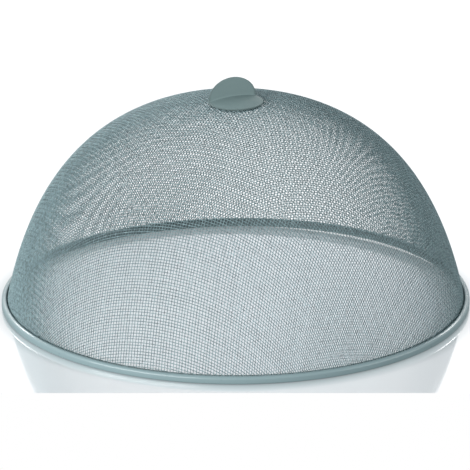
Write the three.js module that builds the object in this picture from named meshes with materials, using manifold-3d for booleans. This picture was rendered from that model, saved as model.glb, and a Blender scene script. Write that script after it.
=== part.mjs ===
// Food cover: a dome of wire cloth in a rolled steel rim, with a folded plate for a handle.
// Millimetres, +Z up. The origin is the centre of the ring that the cover stands on.
import * as THREE from 'three';
import { mergeVertices } from 'three/addons/utils/BufferGeometryUtils.js';
import Module from 'manifold-3d';

const wasm = await Module();
wasm.setup();

const DEGREE = Math.PI / 180;

// Driving dimensions of the rim
const rimOuterRadius = 177.5;
const rimWidth = 6.5;
const rimHeight = 5.8;
const rimSheet = 0.6;
const legHeight = 5.2;
const footCornerRadius = 0.9;
const shoulderRadius = 1.9;
const lipRadius = 0.6;
const lipDrop = 0.3;
const lipGap = 1;

// Driving dimensions of the wire cloth. One strand here stands for nine wires of the real cloth, and its
// diamond section holds about as much steel as they do.
const clothPitch = 20;
const strandWidth = 3.2;
const strandDepth = 1.1;
const clothTurn = -22 * DEGREE;

// Driving dimensions of the dome's outline, from the rim up to the crown
const crownHeight = 158.9;
const wallLean = 11.8 * DEGREE;
const wallReach = 97.5;
const crownReach = 102.5;

// Driving dimensions of the handle. The plate is dished, and its flap stands up from a chord of it.
const plateRadius = 20.7;
const plateSheet = 1;
const dishRadius = 95;
const foldOffset = 4.4;
const foldRadius = 1;
const foldTurn = 27 * DEGREE;
const flapHeight = 14.7;
const backingSheet = 0.8;
const backingMargin = 1.6;
const weldRadius = 2.4;

// Clearances
const seatGap = 0.3;
const legClearance = 0.35;
const cutOverrun = 5;

// Corners closer than this are one corner.
const mergeTolerance = 1e-4;

// Facet counts
const rimFacets = 72;
const backingFacets = 32;
const weldFacets = 8;
const plateColumns = 14;
const lyingRows = 9;
const bendRows = 3;
const flapRows = 8;

// Sizes that follow
const rimInnerRadius = rimOuterRadius - rimWidth;
const clothFootRadius = rimInnerRadius + rimSheet + legClearance + strandDepth / 2;
const lipInnerRadius = clothFootRadius + strandDepth / 2 + lipGap;
const clothCutHeight = rimSheet + seatGap;

// The dome's outline is one cubic curve through the middle of the cloth, as (radius, height).
const domeOutline = new THREE.CubicBezierCurve(
  new THREE.Vector2(clothFootRadius, legHeight),
  new THREE.Vector2(
    clothFootRadius - wallReach * Math.sin(wallLean),
    legHeight + wallReach * Math.cos(wallLean),
  ),
  new THREE.Vector2(crownReach, crownHeight),
  new THREE.Vector2(0, crownHeight),
);

// Height and slope of the cloth's middle at a radius. Below the leg's top the cloth runs straight on.
function clothAt(radius) {
  if (radius >= clothFootRadius) {
    const slope = -1 / Math.tan(wallLean);
    return { height: legHeight + (radius - clothFootRadius) * slope, slope };
  }
  let low = 0;
  let high = 1;
  for (let step = 0; step < 48; step += 1) {
    const middle = (low + high) / 2;
    if (domeOutline.getPoint(middle).x > radius) low = middle;
    else high = middle;
  }
  const tangent = domeOutline.getTangent(low);
  return { height: domeOutline.getPoint(low).y, slope: tangent.y / tangent.x };
}

function onCloth(x, y) {
  return new THREE.Vector3(x, y, clothAt(Math.hypot(x, y)).height);
}

function clothNormal(point) {
  const radius = Math.hypot(point.x, point.y);
  if (radius === 0) return new THREE.Vector3(0, 0, 1);
  const { slope } = clothAt(radius);
  return new THREE.Vector3(-slope * point.x / radius, -slope * point.y / radius, 1).normalize();
}

// Solids from closed meshes, and back. At a pole several corners are one point, so the triangles that
// have two of their corners there are left out.
function toSolid(geometry) {
  const bare = new THREE.BufferGeometry();
  bare.setAttribute('position', geometry.getAttribute('position').clone());
  if (geometry.index) bare.setIndex(geometry.index.clone());
  const merged = mergeVertices(bare, mergeTolerance);
  const corners = merged.index.array;
  const kept = [];
  for (let n = 0; n < corners.length; n += 3) {
    const [a, b, c] = corners.slice(n, n + 3);
    if (a !== b && b !== c && c !== a) kept.push(a, b, c);
  }
  return new wasm.Manifold(new wasm.Mesh({
    numProp: 3,
    vertProperties: Float32Array.from(merged.getAttribute('position').array),
    triVerts: Uint32Array.from(kept),
  }));
}

function toGeometry(solid) {
  const mesh = solid.getMesh();
  const geometry = new THREE.BufferGeometry();
  geometry.setAttribute('position', new THREE.BufferAttribute(Float32Array.from(mesh.vertProperties), 3));
  geometry.setIndex(new THREE.BufferAttribute(Uint32Array.from(mesh.triVerts), 1));
  geometry.computeVertexNormals();
  return geometry;
}

function geometryOf(points, triangles) {
  const geometry = new THREE.BufferGeometry();
  geometry.setAttribute('position', new THREE.Float32BufferAttribute(points.flatMap((p) => p.toArray()), 3));
  geometry.setIndex(triangles.flat());
  geometry.computeVertexNormals();
  return geometry;
}

// A profile in (radius, height), run anticlockwise, turned about Z
function revolve(profile, facets) {
  return new THREE.LatheGeometry([...profile, profile[0]], facets).rotateX(Math.PI / 2);
}

// Rim: the middle line of the rolled strip, as points with the normal on its right-hand side
function stripArc(centre, radius, from, to, steps) {
  return Array.from({ length: steps + 1 }, (_, step) => {
    const angle = from + (to - from) * step / steps;
    const normal = new THREE.Vector2(Math.cos(angle), Math.sin(angle));
    return { point: normal.clone().multiplyScalar(radius).add(centre), normal };
  });
}

function makeRimChannel() {
  const half = rimSheet / 2;
  const beadRoom = rimOuterRadius - lipInnerRadius - rimSheet;
  const lip = Math.min(lipRadius, beadRoom / 3);
  const shoulder = Math.min(shoulderRadius, beadRoom - lip, rimHeight - rimSheet - footCornerRadius);
  const inner = rimInnerRadius + half;
  const outer = rimOuterRadius - half;
  const top = rimHeight - half;
  const strip = [
    { point: new THREE.Vector2(inner, legHeight), normal: new THREE.Vector2(-1, 0) },
    ...stripArc(new THREE.Vector2(inner + footCornerRadius, half + footCornerRadius),
      footCornerRadius, Math.PI, 1.5 * Math.PI, 2),
    ...stripArc(new THREE.Vector2(outer - footCornerRadius, half + footCornerRadius),
      footCornerRadius, 1.5 * Math.PI, 2 * Math.PI, 2),
    ...stripArc(new THREE.Vector2(outer - shoulder, top - shoulder), shoulder, 0, 0.5 * Math.PI, 3),
    ...stripArc(new THREE.Vector2(lipInnerRadius + half + lip, top - lip), lip, 0.5 * Math.PI, Math.PI, 2),
    {
      point: new THREE.Vector2(lipInnerRadius + half, top - lip - lipDrop),
      normal: new THREE.Vector2(-1, 0),
    },
  ];
  const side = (sign) => strip.map(({ point, normal }) => point.clone().addScaledVector(normal, sign * half));
  return revolve([...side(1), ...side(-1).reverse()], rimFacets);
}

// Wire cloth: crossings of the pressed cloth in one quarter. Each lies on the dome at one pitch from the
// crossing before it on both of its wires.
function crossingFrom(first, second, corner) {
  let x = first.x + second.x - corner.x;
  let y = first.y + second.y - corner.y;
  for (let round = 0; round < 30; round += 1) {
    const radius = Math.hypot(x, y);
    const { height, slope } = clothAt(radius);
    const spans = [first, second].map((known) => new THREE.Vector3(x, y, height).sub(known));
    const [misfitA, misfitB] = spans.map((span) => span.lengthSq() - clothPitch * clothPitch);
    const [rowA, rowB] = spans.map((span) => [
      2 * (span.x + span.z * slope * x / radius),
      2 * (span.y + span.z * slope * y / radius),
    ]);
    const determinant = rowA[0] * rowB[1] - rowA[1] * rowB[0];
    x -= (misfitA * rowB[1] - misfitB * rowA[1]) / determinant;
    y -= (misfitB * rowA[0] - misfitA * rowB[0]) / determinant;
  }
  return onCloth(x, y);
}

function nextOnMeridian(previous) {
  let low = previous.x;
  let high = previous.x + clothPitch;
  for (let step = 0; step < 48; step += 1) {
    const middle = (low + high) / 2;
    if (onCloth(middle, 0).distanceTo(previous) < clothPitch) low = middle;
    else high = middle;
  }
  return onCloth(low, 0);
}

// A quarter of the cloth holds every mesh opening whose corner nearest the crown is above the cut.
function quarterOfCrossings() {
  const quarter = [[onCloth(0, 0)]];
  const isKept = (point) => point !== undefined && point.z > clothCutHeight;
  while (isKept(quarter.at(-1)[0])) quarter.push([nextOnMeridian(quarter.at(-1)[0])]);
  for (let column = 1; column < quarter.length; column += 1) {
    quarter[0][column] = new THREE.Vector3(0, quarter[column][0].x, quarter[column][0].z);
  }
  for (let row = 1; row < quarter.length; row += 1) {
    for (let column = 1; isKept(quarter[row - 1][column - 1]); column += 1) {
      quarter[row][column] = crossingFrom(
        quarter[row - 1][column], quarter[row][column - 1], quarter[row - 1][column - 1]);
    }
  }
  return quarter;
}

function makeCloth(quarter) {
  const points = [];
  const triangles = [];
  const ridges = new Map();
  const sides = new Map();
  const addPoint = (point) => points.push(point) - 1;
  const addQuad = (a, b, c, d) => triangles.push([a, b, c], [a, c, d]);
  const crossing = (row, column) => {
    const known = quarter[Math.abs(row)]?.[Math.abs(column)];
    return known && new THREE.Vector3(known.x * Math.sign(row), known.y * Math.sign(column), known.z);
  };
  const ridge = (row, column) => {
    const key = `${row},${column}`;
    if (!ridges.has(key)) {
      const middle = crossing(row, column);
      const rise = clothNormal(middle).multiplyScalar(strandDepth / 2);
      ridges.set(key, {
        outer: addPoint(middle.clone().add(rise)),
        inner: addPoint(middle.clone().sub(rise)),
      });
    }
    return ridges.get(key);
  };
  const openingCorner = (at, next, last) => {
    const along = next.clone().sub(at).normalize();
    const across = last.clone().sub(at).normalize();
    const inset = strandWidth / 2 / along.clone().cross(across).length();
    return addPoint(at.clone().addScaledVector(along.add(across), inset));
  };
  const reach = quarter.length - 1;
  for (let row = -reach; row < reach; row += 1) {
    for (let column = -reach; column < reach; column += 1) {
      const corners = [[row, column], [row + 1, column], [row + 1, column + 1], [row, column + 1]];
      const spots = corners.map(([i, j]) => crossing(i, j));
      const nearest = crossing(row < 0 ? row + 1 : row, column < 0 ? column + 1 : column);
      if (nearest === undefined || nearest.z <= clothCutHeight) continue;
      const opening = spots.map((spot, n) => openingCorner(spot, spots[(n + 1) % 4], spots[(n + 3) % 4]));
      corners.forEach(([i, j], n) => {
        const [k, l] = corners[(n + 1) % 4];
        const from = ridge(i, j);
        const to = ridge(k, l);
        addQuad(from.outer, to.outer, opening[(n + 1) % 4], opening[n]);
        addQuad(opening[n], opening[(n + 1) % 4], to.inner, from.inner);
        const twin = `${k},${l};${i},${j}`;
        if (sides.has(twin)) sides.delete(twin);
        else sides.set(`${i},${j};${k},${l}`, { from, to });
      });
    }
  }
  sides.forEach(({ from, to }) => addQuad(from.inner, to.inner, to.outer, from.outer));
  const blank = toSolid(geometryOf(points, triangles));
  const bandHeight = crownHeight + cutOverrun;
  const bandRadius = rimOuterRadius + cutOverrun;
  const band = new THREE.CylinderGeometry(bandRadius, bandRadius, bandHeight, rimFacets)
    .rotateX(Math.PI / 2)
    .translate(0, 0, clothCutHeight + bandHeight / 2);
  return toGeometry(blank.intersect(toSolid(band))).rotateZ(clothTurn);
}

// Underside of the dished handle plate, whose edge bears on the cloth
function plateUnderside(radius) {
  const dishDepth = (reach) => dishRadius - Math.sqrt(dishRadius * dishRadius - reach * reach);
  const seat = clothAt(plateRadius).height + strandDepth / 2 + seatGap;
  return seat + dishDepth(plateRadius) - dishDepth(radius);
}

// Handle plate: rows of points across the blank. The rows up to the chord lie on the dish, the next go
// round the bend, and the last stand in the flap, whose outline is half an ellipse.
function makeHandlePlate() {
  const bendRadius = foldRadius + plateSheet / 2;
  const bendLength = bendRadius * Math.PI / 2;
  const flapTop = plateUnderside(foldOffset) + plateSheet + flapHeight;
  const chordAt = (behind) => Math.sqrt(Math.max(plateRadius * plateRadius - behind * behind, 0));
  const lyingTurn = Math.PI - Math.acos(foldOffset / plateRadius);
  const rows = [
    ...Array.from({ length: lyingRows }, (_, n) => -plateRadius * Math.cos(lyingTurn * n / lyingRows)),
    ...Array.from({ length: bendRows }, (_, n) => foldOffset + bendLength * n / bendRows),
  ].map((behind) => ({ behind, rise: 0, halfWidth: chordAt(behind) }));
  for (let n = 0; n <= flapRows; n += 1) {
    const angle = Math.PI / 2 * n / flapRows;
    const halfWidth = chordAt(foldOffset + bendLength) * Math.cos(angle);
    rows.push({ behind: foldOffset + bendLength, rise: Math.sin(angle), halfWidth });
  }
  const place = (across, { behind, rise }, depth) => {
    const lying = Math.min(behind, foldOffset);
    const middle = plateUnderside(Math.hypot(across, lying)) + plateSheet / 2;
    const bend = Math.max(behind - foldOffset, 0) / bendRadius;
    const height = middle + bendRadius * (1 - Math.cos(bend)) + depth * Math.cos(bend);
    return new THREE.Vector3(
      across,
      lying + (bendRadius - depth) * Math.sin(bend),
      height + (flapTop - height) * rise,
    );
  };
  const points = [];
  const triangles = [];
  const addQuad = (a, b, c, d) => triangles.push([a, b, c], [a, c, d]);
  const [face, back] = [plateSheet / 2, -plateSheet / 2].map((depth) => rows.map((row) =>
    Array.from({ length: plateColumns + 1 }, (_, n) =>
      points.push(place(row.halfWidth * (2 * n / plateColumns - 1), row, depth)) - 1)));
  for (let row = 0; row < rows.length - 1; row += 1) {
    for (let n = 0; n < plateColumns; n += 1) {
      addQuad(face[row][n], face[row][n + 1], face[row + 1][n + 1], face[row + 1][n]);
      addQuad(back[row][n], back[row + 1][n], back[row + 1][n + 1], back[row][n + 1]);
    }
    addQuad(face[row][0], face[row + 1][0], back[row + 1][0], back[row][0]);
    addQuad(face[row + 1].at(-1), face[row].at(-1), back[row].at(-1), back[row + 1].at(-1));
  }
  return toGeometry(toSolid(geometryOf(points, triangles))).rotateZ(foldTurn);
}

// Backing disc: follows the crown from inside. Three projections reach up through the cloth, and the spot
// welds to the handle plate are made on them.
function makeBackingDisc(quarter) {
  const strandSag = clothAt(clothPitch / 2).height - (clothAt(0).height + clothAt(clothPitch).height) / 2;
  const face = (radius) => clothAt(radius).height - strandDepth / 2 - strandSag - seatGap;
  const opening = [quarter[0][0], quarter[1][0], quarter[1][1], quarter[0][1]]
    .reduce((sum, crossing) => sum.add(crossing), new THREE.Vector3())
    .divideScalar(4);
  const weldReach = Math.hypot(opening.x, opening.y);
  const backingRadius = weldReach + weldRadius + backingMargin;
  const rings = 4;
  const radii = Array.from({ length: rings + 1 }, (_, n) => backingRadius * n / rings);
  const profile = [
    ...radii.map((radius) => new THREE.Vector2(radius, face(radius) - backingSheet)),
    ...radii.toReversed().map((radius) => new THREE.Vector2(radius, face(radius))),
  ];
  let disc = toSolid(new THREE.LatheGeometry(profile, backingFacets).rotateX(Math.PI / 2));
  const weldTop = plateUnderside(weldReach + weldRadius) - seatGap;
  const weldFoot = face(weldReach + weldRadius) - backingSheet / 2;
  for (const quarterTurns of [0, 2, 3]) {
    const angle = clothTurn + Math.PI / 4 + quarterTurns * Math.PI / 2;
    const weld = new THREE.CylinderGeometry(weldRadius, weldRadius, weldTop - weldFoot, weldFacets)
      .rotateX(Math.PI / 2)
      .translate(weldReach * Math.cos(angle), weldReach * Math.sin(angle), (weldTop + weldFoot) / 2);
    disc = disc.add(toSolid(weld));
  }
  return toGeometry(disc);
}

// Finishes, as sRGB colours of the painted metal
const paint = { roughness: 0.45, metalness: 0 };
const clothPaint = new THREE.MeshStandardMaterial({ name: 'cloth_paint', color: 0x8ea5aa, ...paint });
const rimPaint = new THREE.MeshStandardMaterial({ name: 'rim_paint', color: 0x8ea7ab, ...paint });
const platePaint = new THREE.MeshStandardMaterial({ name: 'plate_paint', color: 0x74898c, ...paint });
const backingPaint = new THREE.MeshStandardMaterial({ name: 'backing_paint', color: 0x74898c, ...paint });

function piece(name, geometry, material) {
  const mesh = new THREE.Mesh(geometry, material);
  mesh.name = name;
  return mesh;
}

const crossings = quarterOfCrossings();
const foodCover = new THREE.Group();
foodCover.add(
  piece('wire_mesh_dome', makeCloth(crossings), clothPaint),
  piece('rim_channel', makeRimChannel(), rimPaint),
  piece('handle_plate', makeHandlePlate(), platePaint),
  piece('backing_disc', makeBackingDisc(crossings), backingPaint),
);

export default foodCover;
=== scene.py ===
# Food cover: a dome of woven wire cloth, painted grey-teal, with a rolled steel rim and a folded
# plate on its crown as the handle. Metres, +Z up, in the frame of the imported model.
import math

import bpy
import numpy as np
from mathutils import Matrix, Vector


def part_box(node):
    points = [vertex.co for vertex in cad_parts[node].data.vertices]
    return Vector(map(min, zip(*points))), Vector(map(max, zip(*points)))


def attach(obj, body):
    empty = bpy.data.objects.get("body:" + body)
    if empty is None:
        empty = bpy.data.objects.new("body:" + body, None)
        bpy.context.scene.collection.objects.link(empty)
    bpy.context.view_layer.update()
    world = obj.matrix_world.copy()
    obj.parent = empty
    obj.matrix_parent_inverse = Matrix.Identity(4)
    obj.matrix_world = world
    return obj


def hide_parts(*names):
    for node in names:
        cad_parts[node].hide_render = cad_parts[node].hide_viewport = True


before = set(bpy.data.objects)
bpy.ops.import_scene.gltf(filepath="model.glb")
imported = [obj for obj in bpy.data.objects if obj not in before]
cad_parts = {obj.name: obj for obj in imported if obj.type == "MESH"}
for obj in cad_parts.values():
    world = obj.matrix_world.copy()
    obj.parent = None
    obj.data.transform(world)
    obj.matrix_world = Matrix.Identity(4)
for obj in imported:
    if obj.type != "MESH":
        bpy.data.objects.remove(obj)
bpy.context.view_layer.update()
bpy.ops.object.select_all(action="DESELECT")
MM = 0.001


# Camera
# The photograph was taken from about four metres with a long lens, 20 degrees above the table.
# The lens is written for a picture 470 pixels wide on a 36 mm sensor.
PICTURE_WIDTH = 470
SENSOR_WIDTH = 36
FOCAL_PIXELS = 5267
CAMERA_DISTANCE = 4.0
CAMERA_RISE = 0.3494
CAMERA_PITCH = 0.3368
CAMERA_SIDE = -0.0005
CLIP_NEAR = 0.1
CLIP_FAR = 20

camera_data = bpy.data.cameras.new("photo_camera")
camera_data.sensor_width = SENSOR_WIDTH
camera_data.lens = FOCAL_PIXELS * SENSOR_WIDTH / PICTURE_WIDTH
camera_data.clip_start = CLIP_NEAR
camera_data.clip_end = CLIP_FAR
camera = bpy.data.objects.new("photo_camera", camera_data)
camera.location = (
    CAMERA_SIDE,
    -CAMERA_DISTANCE * math.cos(CAMERA_RISE),
    CAMERA_DISTANCE * math.sin(CAMERA_RISE),
)
camera.rotation_euler = (math.radians(90) - CAMERA_PITCH, 0, 0)
bpy.context.scene.collection.objects.link(camera)
bpy.context.scene.camera = camera
bpy.context.scene.view_settings.view_transform = "Standard"


# Table and light
# The cover stands on a glossy white table that mirrors it and ends just in front of it, in white air.
# The light on it is soft: from all round, from a large lamp low on the left in front, a weaker one
# on the right and two high behind. The lamps leave the table out; it glows instead, with painted
# shade.
WHITE = (1, 1, 1, 1)
TABLE_HALF_WIDTH = 1.6
TABLE_BACK = 2.4
TABLE_FRONT = -0.194
# The table's glow at each distance from the dome's middle: painted shade under the dome, and a painted
# shadow, the darkest, below the rim
TABLE_GLOW_AND_PAINTED_SHADE = (
    (0.150, (0.76, 0.81, 0.88, 1)),
    (0.157, (0.60, 0.64, 0.68, 1)),
    (0.172, (0.38, 0.42, 0.44, 1)),
    (0.178, (0.42, 0.46, 0.48, 1)),
    (0.192, (1.03, 1.04, 1.07, 1)),
)
# What the table throws back at the cover, in place of the lamps' light on it
TABLE_BOUNCE = (0.2, 0.2, 0.2, 1)
TABLE_WHITE = (0.45, 0.45, 0.45, 1)
TABLE_MIRROR = 0.52
TABLE_MIRROR_ROUGHNESS = 0.08
AMBIENT = (0.34, 0.40, 0.42, 1)
LAMP_AIM = (0, 0, 0.08)


def new_material(name):
    material = bpy.data.materials.new(name)
    material.use_nodes = True
    material.node_tree.nodes.clear()
    return material, material.node_tree.nodes, material.node_tree.links


def new_math(nodes, operation):
    node = nodes.new("ShaderNodeMath")
    node.operation = operation
    return node


bpy.ops.mesh.primitive_plane_add(size=2)
table = bpy.context.object
table.name = "white_table"
for corner in table.data.vertices:
    corner.co.x = TABLE_HALF_WIDTH * corner.co.x
    corner.co.y = TABLE_BACK if corner.co.y > 0 else TABLE_FRONT

table_material, nodes, links = new_material("white_lacquer")
lacquer = nodes.new("ShaderNodeBsdfDiffuse")
lacquer.inputs["Color"].default_value = TABLE_WHITE
place = nodes.new("ShaderNodeTexCoord")
from_middle = nodes.new("ShaderNodeVectorMath")
from_middle.operation = "LENGTH"
glow_and_painted_shade = nodes.new("ShaderNodeValToRGB")
while len(glow_and_painted_shade.color_ramp.elements) < len(TABLE_GLOW_AND_PAINTED_SHADE):
    glow_and_painted_shade.color_ramp.elements.new(1)
for stop, (distance, color) in zip(glow_and_painted_shade.color_ramp.elements, TABLE_GLOW_AND_PAINTED_SHADE):
    stop.position, stop.color = distance, color
glow = nodes.new("ShaderNodeEmission")
lit = nodes.new("ShaderNodeAddShader")
bounce = nodes.new("ShaderNodeEmission")
bounce.inputs["Color"].default_value = TABLE_BOUNCE
lit_for_cover = nodes.new("ShaderNodeAddShader")
mirror = nodes.new("ShaderNodeBsdfGlossy")
mirror.inputs["Color"].default_value = WHITE
mirror.inputs["Roughness"].default_value = TABLE_MIRROR_ROUGHNESS
polished = nodes.new("ShaderNodeMixShader")
polished.inputs["Fac"].default_value = TABLE_MIRROR
path = nodes.new("ShaderNodeLightPath")
diffuse_or_gloss = new_math(nodes, "MAXIMUM")
by_ray = nodes.new("ShaderNodeMixShader")
output = nodes.new("ShaderNodeOutputMaterial")
links.new(lacquer.outputs["BSDF"], lit.inputs[0])
links.new(glow.outputs["Emission"], lit.inputs[1])
links.new(lit.outputs["Shader"], polished.inputs[1])
links.new(mirror.outputs["BSDF"], polished.inputs[2])
links.new(place.outputs["Object"], from_middle.inputs[0])
links.new(from_middle.outputs["Value"], glow_and_painted_shade.inputs["Fac"])
links.new(glow_and_painted_shade.outputs["Color"], glow.inputs["Color"])
links.new(path.outputs["Is Diffuse Ray"], diffuse_or_gloss.inputs[0])
links.new(path.outputs["Is Glossy Ray"], diffuse_or_gloss.inputs[1])
links.new(diffuse_or_gloss.outputs["Value"], by_ray.inputs["Fac"])
links.new(polished.outputs["Shader"], by_ray.inputs[1])
links.new(lacquer.outputs["BSDF"], lit_for_cover.inputs[0])
links.new(bounce.outputs["Emission"], lit_for_cover.inputs[1])
links.new(lit_for_cover.outputs["Shader"], by_ray.inputs[2])
links.new(by_ray.outputs["Shader"], output.inputs["Surface"])
table.data.materials.append(table_material)

world = bpy.data.worlds.new("white_studio")
world.use_nodes = True
bpy.context.scene.world = world
nodes, links = world.node_tree.nodes, world.node_tree.links
nodes.clear()
path = nodes.new("ShaderNodeLightPath")
camera_or_gloss = new_math(nodes, "MAXIMUM")
shown_white = new_math(nodes, "MAXIMUM")
sky_color = nodes.new("ShaderNodeMix")
sky_color.data_type = "RGBA"
sky_color.inputs["A"].default_value = AMBIENT
sky_color.inputs["B"].default_value = WHITE
sky = nodes.new("ShaderNodeBackground")
output = nodes.new("ShaderNodeOutputWorld")
links.new(path.outputs["Is Camera Ray"], camera_or_gloss.inputs[0])
links.new(path.outputs["Is Glossy Ray"], camera_or_gloss.inputs[1])
links.new(camera_or_gloss.outputs["Value"], shown_white.inputs[0])
links.new(path.outputs["Is Transmission Ray"], shown_white.inputs[1])
links.new(shown_white.outputs["Value"], sky_color.inputs["Factor"])
links.new(sky_color.outputs["Result"], sky.inputs["Color"])
links.new(sky.outputs["Background"], output.inputs["Surface"])

all_but_table = bpy.data.collections.new("all_but_table")
all_but_table.objects.link(table)
all_but_table.collection_objects[0].light_linking.link_state = "EXCLUDE"


def add_softbox(name, place, size, power):
    """A lamp for the cover alone, which shows neither itself nor its image in the table."""
    lamp_data = bpy.data.lights.new(name, "AREA")
    lamp_data.shape = "RECTANGLE"
    lamp_data.size, lamp_data.size_y = size
    lamp_data.energy = power
    lamp = bpy.data.objects.new(name, lamp_data)
    lamp.location = place
    lamp.rotation_mode = "QUATERNION"
    lamp.rotation_quaternion = (Vector(LAMP_AIM) - Vector(place)).to_track_quat("-Z", "Y")
    lamp.visible_camera = False
    lamp.light_linking.receiver_collection = all_but_table
    bpy.context.scene.collection.objects.link(lamp)


add_softbox("left_softbox", place=(-1.35, -1.35, 0.6), size=(2.0, 0.8), power=51)
add_softbox("right_softbox", place=(2.0, -0.6, 0.65), size=(1.8, 1.3), power=17)
add_softbox("back_left_softbox", place=(-0.95, 1.8, 1.2), size=(1.4, 0.3), power=18)
add_softbox("back_right_softbox", place=(0.95, 1.8, 1.2), size=(1.4, 0.3), power=12)


# Wire cloth
# Steel wire 0.5 mm thick, woven plain, painted, and pressed to a dome as one blank, so the
# distance between crossings stays and the angle between the wires changes. Its cut edge ends
# inside the rim.
# The coarse cloth of the solids, in which one strand stands for nine wires
STRAND_PITCH = 20 * MM
STRAND_HALF_DEPTH = 0.55 * MM
WIRES_PER_STRAND = 9
# The real cloth
CLOTH_PITCH = STRAND_PITCH / WIRES_PER_STRAND
WIRE_RADIUS = 0.26 * MM
WIRE_BEVEL_STEPS = 1
CLOTH_TURN = math.radians(-22)
LEG_TOP = 5.2 * MM
WALL_LEAN = math.radians(11.8)
WALL_REACH = 97.5 * MM
CROWN_REACH = 102.5 * MM
CLOTH_FOOT_RADIUS = 172.5 * MM
CLOTH_CUT_HEIGHT = 1.0 * MM
CROWN_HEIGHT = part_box("wire_mesh_dome")[1].z - STRAND_HALF_DEPTH
OUTLINE_STEPS = 20001
BELOW_TABLE = -20 * MM
SOLVER_STEPS = 12
HALVINGS = 40
SPACING_SEED = 5
WIRE_OFFSET = 0.03
WIRE_WANDER = 0.025
WANDER_SPAN = 9
WIRE_TONES = (0.9, 1.1)
STRIP_MARGIN = 0.06
NEARLY_ZERO = 1e-9
GROUPS_EACH_WAY = 3
RING_LIFT = 2 * MM
RING_LIFT_AT = math.radians(42)
RING_LIFT_REACH = math.radians(72)
RING_LIFT_FADE = 60 * MM

outline_share = np.linspace(0, 1, OUTLINE_STEPS)[:, None]
outline_pulls = np.array([
    (CLOTH_FOOT_RADIUS, LEG_TOP),
    (CLOTH_FOOT_RADIUS - WALL_REACH * math.sin(WALL_LEAN),
     LEG_TOP + WALL_REACH * math.cos(WALL_LEAN)),
    (CROWN_REACH, CROWN_HEIGHT),
    (0, CROWN_HEIGHT),
])
outline = (
    (1 - outline_share) ** 3 * outline_pulls[0]
    + 3 * outline_share * (1 - outline_share) ** 2 * outline_pulls[1]
    + 3 * outline_share ** 2 * (1 - outline_share) * outline_pulls[2]
    + outline_share ** 3 * outline_pulls[3]
)[::-1]
# The wall goes on straight to below the table, so that a crossing past the cut edge has a place
outline = np.vstack([
    outline,
    (CLOTH_FOOT_RADIUS + (LEG_TOP - BELOW_TABLE) * math.tan(WALL_LEAN), BELOW_TABLE),
])
outline_slope = np.gradient(outline[:, 1], outline[:, 0])
outline_slope[-2:] = -1 / math.tan(WALL_LEAN)


def cloth_height(radius):
    return np.interp(radius, outline[:, 0], outline[:, 1])


def cloth_slope(radius):
    return np.interp(radius, outline[:, 0], outline_slope)


def on_cloth(across):
    return np.column_stack([across, cloth_height(np.hypot(across[:, 0], across[:, 1]))])


def crossings_from(first, second, corner):
    """The points of the dome that lie one pitch from each of two crossings, past the corner."""
    across = (first + second - corner)[:, :2]
    for _ in range(SOLVER_STEPS):
        point = on_cloth(across)
        radius = np.hypot(across[:, 0], across[:, 1])
        fall = cloth_slope(radius)[:, None] * across / radius[:, None]
        to_first, to_second = point - first, point - second
        miss_first = (to_first ** 2).sum(1) - CLOTH_PITCH ** 2
        miss_second = (to_second ** 2).sum(1) - CLOTH_PITCH ** 2
        row_first = 2 * (to_first[:, :2] + to_first[:, 2:] * fall)
        row_second = 2 * (to_second[:, :2] + to_second[:, 2:] * fall)
        spread = row_first[:, 0] * row_second[:, 1] - row_first[:, 1] * row_second[:, 0]
        across = across - np.column_stack([
            (miss_first * row_second[:, 1] - miss_second * row_first[:, 1]) / spread,
            (miss_second * row_first[:, 0] - miss_first * row_second[:, 0]) / spread,
        ])
    return on_cloth(across)


# The crossings on the two wires that pass over the crown
meridian = [0.0]
while cloth_height(meridian[-1]) > CLOTH_CUT_HEIGHT:
    low, high = meridian[-1], meridian[-1] + CLOTH_PITCH
    for _ in range(HALVINGS):
        middle = (low + high) / 2
        step = math.hypot(middle - meridian[-1], cloth_height(middle) - cloth_height(meridian[-1]))
        if step < CLOTH_PITCH:
            low = middle
        else:
            high = middle
    meridian.append(low)
reach = len(meridian) - 1

# One quarter of the cloth, worked out from the crown outwards, diagonal by diagonal
quarter = np.full((reach + 1, reach + 1, 3), np.nan)
quarter[:, 0] = on_cloth(np.column_stack([meridian, np.zeros(reach + 1)]))
quarter[0, :] = quarter[:, 0][:, [1, 0, 2]]
for diagonal in range(2, 2 * reach + 1):
    rows = np.arange(max(1, diagonal - reach), min(diagonal - 1, reach) + 1)
    columns = diagonal - rows
    kept = quarter[rows - 1, columns - 1, 2] > CLOTH_CUT_HEIGHT
    rows, columns = rows[kept], columns[kept]
    if len(rows) == 0:
        break
    quarter[rows, columns] = crossings_from(
        quarter[rows - 1, columns], quarter[rows, columns - 1], quarter[rows - 1, columns - 1])

# The whole cloth, with the small unevenness in its spacing that woven wire has
signs = np.where(np.arange(-reach, reach + 1) < 0, -1, 1)
away = abs(np.arange(-reach, reach + 1))
crossings = quarter[away][:, away]
crossings[..., 0] *= signs[:, None]
crossings[..., 1] *= signs[None, :]
chance = np.random.default_rng(SPACING_SEED)


def uneven_spacing():
    """How far each wire lies to the side of its even place at each crossing, in pitches."""
    wander = chance.normal(0, WIRE_WANDER, (len(away), len(away) + WANDER_SPAN - 1))
    smooth = np.ones(WANDER_SPAN) / math.sqrt(WANDER_SPAN)
    wander = np.array([np.convolve(wire, smooth, "valid") for wire in wander])
    return chance.normal(0, WIRE_OFFSET, (len(away), 1)) + wander


def one_pitch_on(points):
    """The step from one crossing to the next along the first axis, taken on the crown's side."""
    steps = np.empty_like(points)
    steps[:reach] = points[1:reach + 1] - points[:reach]
    steps[reach] = points[reach + 1] - points[reach]
    steps[reach + 1:] = points[reach + 1:] - points[reach:-1]
    return steps


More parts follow.
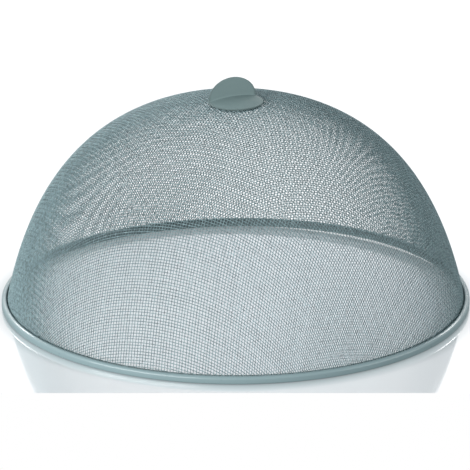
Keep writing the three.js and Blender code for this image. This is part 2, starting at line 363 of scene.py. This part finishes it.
outward = one_pitch_on(crossings)
sideways = one_pitch_on(crossings.swapaxes(0, 1)).swapaxes(0, 1)
crossings[..., :2] += (
    uneven_spacing()[..., None] * outward[..., :2]
    + uneven_spacing().T[..., None] * sideways[..., :2])
crossing_radius = np.maximum(np.hypot(crossings[..., 0], crossings[..., 1]), NEARLY_ZERO)
crossings[..., 2] = cloth_height(crossing_radius)
fall = cloth_slope(crossing_radius)[..., None] * crossings[..., :2] / crossing_radius[..., None]
crossing_normals = np.concatenate([-fall, np.ones((*fall.shape[:2], 1))], axis=2)
crossing_normals /= np.linalg.norm(crossing_normals, axis=2)[..., None]


def ring_lift(points):
    """How far the ring stands off the table: it is bent up a little at the back on the right."""
    turned = abs(np.arctan2(points[:, 1], points[:, 0]) - RING_LIFT_AT)
    share = np.clip(np.minimum(turned, 2 * math.pi - turned) / RING_LIFT_REACH, 0, 1)
    at_height = np.clip(1 - points[:, 2] / RING_LIFT_FADE, 0, 1)
    return RING_LIFT * np.cos(share * math.pi / 2) ** 2 * at_height


def wire_route(line, along_first):
    """The middle of one wire, passing over and under the wires that it crosses."""
    steps = np.arange(-reach, reach + 1)
    if along_first:
        points, normals = crossings[:, line + reach], crossing_normals[:, line + reach]
    else:
        points, normals = crossings[line + reach], crossing_normals[line + reach]
    above = np.nan_to_num(points[:, 2], nan=-1) > CLOTH_CUT_HEIGHT
    first, last = np.flatnonzero(above)[[0, -1]]
    part = slice(first - 1, last + 2)
    over = np.where((steps[part] + line) % 2 == 0, 1, -1) * (1 if along_first else -1)
    route = points[part] + normals[part] * (over * WIRE_RADIUS)[:, None]
    for end, inside in ((0, 1), (-1, -2)):
        share = (route[inside, 2] - CLOTH_CUT_HEIGHT) / (route[inside, 2] - route[end, 2])
        route[end] = route[inside] + (route[end] - route[inside]) * share
    turn = np.array([
        [math.cos(CLOTH_TURN), math.sin(CLOTH_TURN)],
        [-math.sin(CLOTH_TURN), math.cos(CLOTH_TURN)],
    ])
    route[:, :2] = route[:, :2] @ turn
    route[:, 2] += ring_lift(route)
    return route


def make_wires(name, lines, along_first):
    """Round wires along their routes, as one piece, with a strip of the bake map for each wire."""
    bpy.ops.object.select_all(action="DESELECT")
    for line in lines:
        route = wire_route(line, along_first)
        curve = bpy.data.curves.new(name, "CURVE")
        curve.dimensions = "3D"
        curve.bevel_depth = WIRE_RADIUS
        curve.bevel_resolution = WIRE_BEVEL_STEPS
        curve.use_fill_caps = True
        spline = curve.splines.new("POLY")
        spline.points.add(len(route) - 1)
        spline.points.foreach_set("co", np.column_stack([route, np.ones(len(route))]).ravel())
        wire = bpy.data.objects.new(name, curve)
        bpy.context.scene.collection.objects.link(wire)
        wire.select_set(True)
        bpy.context.view_layer.objects.active = wire
    bpy.ops.object.convert(target="MESH")
    wires = bpy.context.selected_objects
    for place, wire in enumerate(wires):
        strip = wire.data.uv_layers[0]
        strip.name = "OFBake"
        spots = np.empty(2 * len(strip.uv), np.float32)
        strip.uv.foreach_get("vector", spots)
        across_strip = STRIP_MARGIN + (1 - 2 * STRIP_MARGIN) * spots[0::2]
        spots[0::2] = (place + across_strip) / len(wires)
        strip.uv.foreach_set("vector", spots)
        tone = wire.data.attributes.new("wire_tone", "FLOAT", "POINT")
        tone.data.foreach_set(
            "value", np.full(len(wire.data.vertices), chance.uniform(*WIRE_TONES)))
    bpy.ops.object.join()
    joined = bpy.context.object
    joined.name = name
    bpy.ops.object.shade_smooth()
    joined.select_set(False)
    return joined


def is_on_cloth(line):
    """Whether a wire meets the one over the crown above the cut edge."""
    return np.nan_to_num(quarter[abs(line), 0, 2], nan=-1) > CLOTH_CUT_HEIGHT


DRIFT_DETAIL = 3
SKIN_DETAIL = 2
SHEEN_SIZE = 190
SHEEN_CHANGE = 0.35
NOISE_MIDDLE = 0.5
COAT_ROUGHNESS = 0.12


def sprayed_paint_group():
    """Stoved paint: its tone and sheen drift from place to place, and its skin is pebbled."""
    group = bpy.data.node_groups.new("sprayed_paint", "ShaderNodeTree")
    for label, kind, given in (
            ("Paint", "NodeSocketColor", (0.2, 0.3, 0.3, 1)), ("Tone", "NodeSocketFloat", 1.0),
            ("Tone drift", "NodeSocketFloat", 0.05), ("Drift size", "NodeSocketFloat", 26.0),
            ("Gloss", "NodeSocketFloat", 0.4), ("Pebble size", "NodeSocketFloat", 1200.0)):
        socket = group.interface.new_socket(label, in_out="INPUT", socket_type=kind)
        socket.default_value = given
    for label, kind in (("Color", "NodeSocketColor"), ("Roughness", "NodeSocketFloat"),
                        ("Height", "NodeSocketFloat")):
        group.interface.new_socket(label, in_out="OUTPUT", socket_type=kind)
    nodes, links = group.nodes, group.links
    given = nodes.new("NodeGroupInput")
    made = nodes.new("NodeGroupOutput")
    place = nodes.new("ShaderNodeTexCoord")
    drift = nodes.new("ShaderNodeTexNoise")
    drift.inputs["Detail"].default_value = DRIFT_DETAIL
    tone = new_math(nodes, "MULTIPLY_ADD")
    centred = new_math(nodes, "SUBTRACT")
    centred.inputs[1].default_value = NOISE_MIDDLE
    shaded = nodes.new("ShaderNodeHueSaturation")
    pebbles = nodes.new("ShaderNodeTexNoise")
    pebbles.inputs["Detail"].default_value = SKIN_DETAIL
    sheen = nodes.new("ShaderNodeTexNoise")
    sheen.inputs["Scale"].default_value = SHEEN_SIZE
    sheen.inputs["Detail"].default_value = SKIN_DETAIL
    sheen_centred = new_math(nodes, "SUBTRACT")
    sheen_centred.inputs[1].default_value = NOISE_MIDDLE
    sheen_mixed = new_math(nodes, "MULTIPLY_ADD")
    sheen_mixed.inputs[1].default_value = SHEEN_CHANGE
    for noise in (drift, pebbles, sheen):
        links.new(place.outputs["Object"], noise.inputs["Vector"])
    links.new(given.outputs["Pebble size"], pebbles.inputs["Scale"])
    links.new(given.outputs["Drift size"], drift.inputs["Scale"])
    links.new(given.outputs["Tone"], tone.inputs[2])
    links.new(drift.outputs["Fac"], centred.inputs[0])
    links.new(centred.outputs["Value"], tone.inputs[0])
    links.new(given.outputs["Tone drift"], tone.inputs[1])
    links.new(tone.outputs["Value"], shaded.inputs["Value"])
    links.new(given.outputs["Paint"], shaded.inputs["Color"])
    links.new(sheen.outputs["Fac"], sheen_centred.inputs[0])
    links.new(sheen_centred.outputs["Value"], sheen_mixed.inputs[0])
    links.new(given.outputs["Gloss"], sheen_mixed.inputs[2])
    links.new(shaded.outputs["Color"], made.inputs["Color"])
    links.new(sheen_mixed.outputs["Value"], made.inputs["Roughness"])
    links.new(pebbles.outputs["Fac"], made.inputs["Height"])
    return group


sprayed_paint = sprayed_paint_group()


def painted(name, paint, drift, gloss, pebbles, specular=0.5, coat=0, tone_from=None):
    """A material in the sprayed paint, on a shader of its own.

    drift says how much and how finely the tone drifts, and pebbles how fine and deep they are.
    """
    material, nodes, links = new_material(name)
    spray = nodes.new("ShaderNodeGroup")
    spray.node_tree = sprayed_paint
    spray.inputs["Paint"].default_value = (*paint, 1)
    spray.inputs["Tone drift"].default_value, spray.inputs["Drift size"].default_value = drift
    spray.inputs["Gloss"].default_value = gloss
    spray.inputs["Pebble size"].default_value, pebble_depth = pebbles
    bump = nodes.new("ShaderNodeBump")
    bump.inputs["Strength"].default_value = 1
    bump.inputs["Distance"].default_value = pebble_depth
    shader = nodes.new("ShaderNodeBsdfPrincipled")
    shader.inputs["Specular IOR Level"].default_value = specular
    shader.inputs["Coat Weight"].default_value = coat
    shader.inputs["Coat Roughness"].default_value = COAT_ROUGHNESS
    output = nodes.new("ShaderNodeOutputMaterial")
    if tone_from:
        tone = nodes.new("ShaderNodeAttribute")
        tone.attribute_name = tone_from
        links.new(tone.outputs["Fac"], spray.inputs["Tone"])
    links.new(spray.outputs["Color"], shader.inputs["Base Color"])
    links.new(spray.outputs["Roughness"], shader.inputs["Roughness"])
    links.new(spray.outputs["Height"], bump.inputs["Height"])
    links.new(bump.outputs["Normal"], shader.inputs["Normal"])
    links.new(shader.outputs["BSDF"], output.inputs["Surface"])
    return material


cloth_paint = painted(
    "cloth_paint", paint=(0.186, 0.258, 0.272), drift=(1.9, 450), gloss=0.35,
    pebbles=(1500, 0.01 * MM), specular=0.2, tone_from="wire_tone")
all_lines = [line for line in range(-reach, reach + 1) if is_on_cloth(line)]
for along_first, family in ((True, "warp"), (False, "weft")):
    lengths = np.array([len(wire_route(line, along_first)) for line in all_lines])
    group = np.minimum(
        (np.cumsum(lengths) / lengths.sum() * GROUPS_EACH_WAY).astype(int), GROUPS_EACH_WAY - 1)
    for number in range(GROUPS_EACH_WAY):
        lines = [line for line, own in zip(all_lines, group) if own == number]
        wires = make_wires(f"{family}_wires_{number + 1}", lines, along_first)
        wires.data.materials.clear()
        wires.data.materials.append(cloth_paint)
        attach(wires, "root")
        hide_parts("wire_mesh_dome")


# Rim
# One strip of 0.6 mm steel rolled to a U with its outer leg turned in over the cloth, and bent to a
# ring that stands on the table. The cut edge of the cloth ends inside it. Painted with the cloth.
RIM_SIDES = 192
RIM_SHEET = 0.6 * MM
RIM_LEG = (171.3 * MM, LEG_TOP)
# Each bend's middle, as radius and height, its own radius, and the degrees it goes from and to
RIM_BENDS = (
    (172.2 * MM, 1.2 * MM, 0.9 * MM, 180, 270),
    (176.3 * MM, 1.2 * MM, 0.9 * MM, 270, 360),
    (175.3 * MM, 3.6 * MM, 1.9 * MM, 0, 90),
    (174.6 * MM, 4.9 * MM, 0.6 * MM, 90, 180),
)
RIM_LIP = (174 * MM, 4.6 * MM)
STEPS_PER_BEND = 5
RIM_EDGE = 0.1 * MM
EASED_STEPS = 2
EASED_ABOVE = math.radians(60)
SMOOTH_BELOW = math.radians(40)
# Painted shade on the inner leg's face, which lies in the shade inside the rim: how dark it is, and
# over what width
INNER_LEG_FACE = 171.1 * MM
PAINTED_SHADE_INSIDE = 0.7
PAINTED_SHADE_FADE = 0.6 * MM
CUT_EDGE_TONE = 0.68
HAIR = 0.002 * MM


def finish_sheet(sheet, thickness, edge_radius):
    """Gives a surface the thickness of its sheet, eases the cut edges and smooths the rest.

    The attribute edge_tone_and_painted_shade is lower along the cut edges, which makes them darker.
    """
    bpy.ops.object.mode_set(mode="EDIT")
    bpy.ops.mesh.select_all(action="SELECT")
    bpy.ops.mesh.remove_doubles(threshold=HAIR)
    bpy.ops.mesh.normals_make_consistent(inside=False)
    bpy.ops.object.mode_set(mode="OBJECT")
    cut = sheet.vertex_groups.new(name="cut_edges")
    wall = sheet.modifiers.new("sheet", "SOLIDIFY")
    wall.rim_vertex_group = cut.name
    wall.thickness = thickness
    wall.offset = 0
    wall.use_even_offset = True
    eased = sheet.modifiers.new("eased_edges", "BEVEL")
    eased.width = edge_radius
    eased.segments = EASED_STEPS
    eased.limit_method = "ANGLE"
    eased.angle_limit = EASED_ABOVE
    for modifier in (wall.name, eased.name):
        bpy.ops.object.modifier_apply(modifier=modifier)
    bpy.ops.object.shade_smooth_by_angle(angle=SMOOTH_BELOW)
    cover = sheet.data.attributes.new("edge_tone_and_painted_shade", "FLOAT", "POINT")
    for corner, value in zip(sheet.data.vertices, cover.data):
        at_cut = max((group.weight for group in corner.groups), default=0)
        value.value = 1 - (1 - CUT_EDGE_TONE) * at_cut
    sheet.vertex_groups.clear()


strip = [RIM_LEG]
for middle_radius, middle_height, bend_radius, start, end in RIM_BENDS:
    for angle in np.radians(np.linspace(start, end, STEPS_PER_BEND + 1)):
        strip.append((middle_radius + bend_radius * math.cos(angle),
                      middle_height + bend_radius * math.sin(angle)))
strip.append(RIM_LIP)
bpy.ops.mesh.primitive_circle_add(
    vertices=RIM_SIDES, radius=RIM_LEG[0], location=(0, 0, RIM_LEG[1]), fill_type="NOTHING")
rim = bpy.context.object
rim.name = "rolled_rim"
bpy.ops.object.mode_set(mode="EDIT")
for (radius, height), (next_radius, next_height) in zip(strip, strip[1:]):
    bpy.ops.mesh.extrude_region_move(
        TRANSFORM_OT_translate={"value": (0, 0, next_height - height)})
    wider = next_radius / radius
    bpy.ops.transform.resize(value=(wider, wider, 1), center_override=(0, 0, 0))
bpy.ops.object.mode_set(mode="OBJECT")
bpy.ops.object.transform_apply(location=True, rotation=True, scale=True)
finish_sheet(rim, RIM_SHEET, RIM_EDGE)
corners = np.empty(3 * len(rim.data.vertices), np.float32)
rim.data.vertices.foreach_get("co", corners)
corners = corners.reshape(-1, 3)
corners[:, 2] += ring_lift(corners)
rim.data.vertices.foreach_set("co", corners.ravel())
rim.data.update()
# Painted shade: the inner leg's face is made darker, for the shade inside the rim
for corner, value in zip(rim.data.vertices, rim.data.attributes["edge_tone_and_painted_shade"].data):
    past_leg = (math.hypot(corner.co.x, corner.co.y) - INNER_LEG_FACE) / PAINTED_SHADE_FADE
    value.value *= PAINTED_SHADE_INSIDE + (1 - PAINTED_SHADE_INSIDE) * min(max(past_leg, 0), 1)
rim.data.materials.append(painted(
    "rim_paint", paint=(0.211, 0.288, 0.302), drift=(0.1, 26), gloss=0.35,
    pebbles=(1100, 0.004 * MM), specular=0.3, coat=0.35, tone_from="edge_tone_and_painted_shade"))
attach(rim, "root")
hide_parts("rim_channel")
rim.select_set(False)


# Handle plate
# A round plate of 1 mm sheet steel on the crown, dished so that its edge bears on the cloth. The part
# behind a chord is folded upright and is what the fingers hold. It is spot-welded to the disc inside.
PLATE_RADIUS = 20.7 * MM
PLATE_SHEET = 1 * MM
PLATE_EDGE = 0.14 * MM
DISH_RADIUS = 95 * MM
SEAT_GAP = 0.3 * MM
FOLD_OFFSET = 4.4 * MM
FOLD_TURN = math.radians(27)
AT_FOLD = 0.01 * MM
BEND_RADIUS = 1.5 * MM
FLAP_HEIGHT = 14.7 * MM
PLATE_SIDES = 120
PLATE_COLUMNS = 24
LYING_ROWS = 14
BEND_ROWS = 6
FLAP_ROWS = 18


def dish_depth(radius):
    return DISH_RADIUS - math.sqrt(DISH_RADIUS ** 2 - radius ** 2)


def plate_underside(radius):
    seat = cloth_height(PLATE_RADIUS) + STRAND_HALF_DEPTH + SEAT_GAP
    return seat + dish_depth(PLATE_RADIUS) - dish_depth(radius)


def chord_at(behind):
    return math.sqrt(PLATE_RADIUS ** 2 - behind ** 2)


bpy.ops.mesh.primitive_circle_add(vertices=PLATE_SIDES, radius=PLATE_RADIUS, fill_type="NGON")
plate = bpy.context.object
plate.name = "folded_plate"
bpy.ops.object.mode_set(mode="EDIT")
bpy.ops.mesh.bisect(
    plane_co=(0, FOLD_OFFSET, 0), plane_no=(0, 1, 0), clear_outer=True, threshold=HAIR)
for behind in np.linspace(-PLATE_RADIUS, FOLD_OFFSET, LYING_ROWS + 1)[1:-1]:
    bpy.ops.mesh.select_all(action="SELECT")
    bpy.ops.mesh.bisect(plane_co=(0, behind, 0), plane_no=(0, 1, 0), threshold=HAIR)
for across in np.linspace(-chord_at(FOLD_OFFSET), chord_at(FOLD_OFFSET), PLATE_COLUMNS + 1)[1:-1]:
    bpy.ops.mesh.select_all(action="SELECT")
    bpy.ops.mesh.bisect(plane_co=(across, 0, 0), plane_no=(1, 0, 0), threshold=HAIR)
bpy.ops.mesh.select_all(action="DESELECT")
bpy.ops.object.mode_set(mode="OBJECT")
for corner in plate.data.vertices:
    corner.co.z = plate_underside(math.hypot(corner.co.x, corner.co.y)) + PLATE_SHEET / 2
    corner.select = abs(corner.co.y - FOLD_OFFSET) < AT_FOLD

# The bend, in rows that narrow as the round sheet does, and above it the flap, which does too
flap_top = plate_underside(FOLD_OFFSET) + PLATE_SHEET + FLAP_HEIGHT
bend_length = BEND_RADIUS * math.pi / 2
turns = np.linspace(0, 1, BEND_ROWS + 1)
bpy.ops.object.mode_set(mode="EDIT")
for turn, next_turn in zip(turns, turns[1:]):
    angle, next_angle = turn * math.pi / 2, next_turn * math.pi / 2
    bpy.ops.mesh.extrude_region_move(TRANSFORM_OT_translate={"value": (
        0, BEND_RADIUS * (math.sin(next_angle) - math.sin(angle)),
        BEND_RADIUS * (math.cos(angle) - math.cos(next_angle)))})
    narrower = (chord_at(FOLD_OFFSET + bend_length * next_turn)
                / chord_at(FOLD_OFFSET + bend_length * turn))
    bpy.ops.transform.resize(value=(narrower, 1, 1), center_override=(0, 0, 0))
for row in range(FLAP_ROWS):
    angle, next_angle = (math.pi / 2 * n / FLAP_ROWS for n in (row, row + 1))
    bpy.ops.mesh.extrude_region_move(TRANSFORM_OT_translate={"value": (0, 0, 0)})
    bpy.ops.transform.resize(
        value=(math.cos(next_angle) / math.cos(angle), 1,
               (1 - math.sin(next_angle)) / (1 - math.sin(angle))),
        center_override=(0, 0, flap_top))
bpy.ops.object.mode_set(mode="OBJECT")
plate.rotation_euler.z = FOLD_TURN
bpy.ops.object.transform_apply(location=True, rotation=True, scale=True)
finish_sheet(plate, PLATE_SHEET, PLATE_EDGE)
plate_paint = painted(
    "plate_paint", paint=(0.19, 0.254, 0.253), drift=(0.1, 40), gloss=0.6,
    pebbles=(1300, 0.01 * MM), specular=0.15, tone_from="edge_tone_and_painted_shade")
plate.data.materials.append(plate_paint)
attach(plate, "root")
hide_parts("handle_plate")
plate.select_set(False)


# Backing disc
# A disc of 0.8 mm sheet steel under the crown. Three dimples pressed up out of it reach through the
# cloth and are welded to the handle plate, which holds the cloth between them. Painted with the plate.
BACKING_RADIUS = 18.13 * MM
BACKING_SHEET = 0.8 * MM
BACKING_EDGE = 0.1 * MM
BACKING_SIDES = 120
BACKING_RING = 0.75 * MM
WELD_RADIUS = 2.4 * MM
WELD_REACH = 14.13 * MM
WELD_TURNS = (23, 203, 293)

# The strands of the solids run straight between crossings, and so pass this far below the dome
strand_sag = cloth_height(STRAND_PITCH / 2) - (cloth_height(0) + cloth_height(STRAND_PITCH)) / 2
weld_top = plate_underside(WELD_REACH + WELD_RADIUS) - SEAT_GAP
weld_places = [
    (WELD_REACH * math.cos(math.radians(turn)), WELD_REACH * math.sin(math.radians(turn)))
    for turn in WELD_TURNS
]
bpy.ops.mesh.primitive_circle_add(vertices=BACKING_SIDES, radius=BACKING_RADIUS, fill_type="NGON")
backing = bpy.context.object
backing.name = "dimpled_disc"
bpy.ops.object.mode_set(mode="EDIT")
for _ in range(int(BACKING_RADIUS / BACKING_RING)):
    bpy.ops.mesh.inset(thickness=BACKING_RING)
bpy.ops.mesh.poke()
bpy.ops.object.mode_set(mode="OBJECT")
for corner in backing.data.vertices:
    flat = (cloth_height(math.hypot(corner.co.x, corner.co.y))
            - STRAND_HALF_DEPTH - strand_sag - SEAT_GAP - BACKING_SHEET / 2)
    from_weld = min(math.hypot(corner.co.x - x, corner.co.y - y) for x, y in weld_places)
    slope = min(max((WELD_RADIUS + BACKING_SHEET - from_weld) / (2 * BACKING_SHEET), 0), 1)
    pressed = slope ** 2 * (3 - 2 * slope)
    corner.co.z = flat + pressed * (weld_top - BACKING_SHEET / 2 - flat)
finish_sheet(backing, BACKING_SHEET, BACKING_EDGE)
backing.data.materials.append(plate_paint.copy())
backing.data.materials[0].name = "backing_paint"
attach(backing, "root")
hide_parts("backing_disc")
backing.select_set(False)
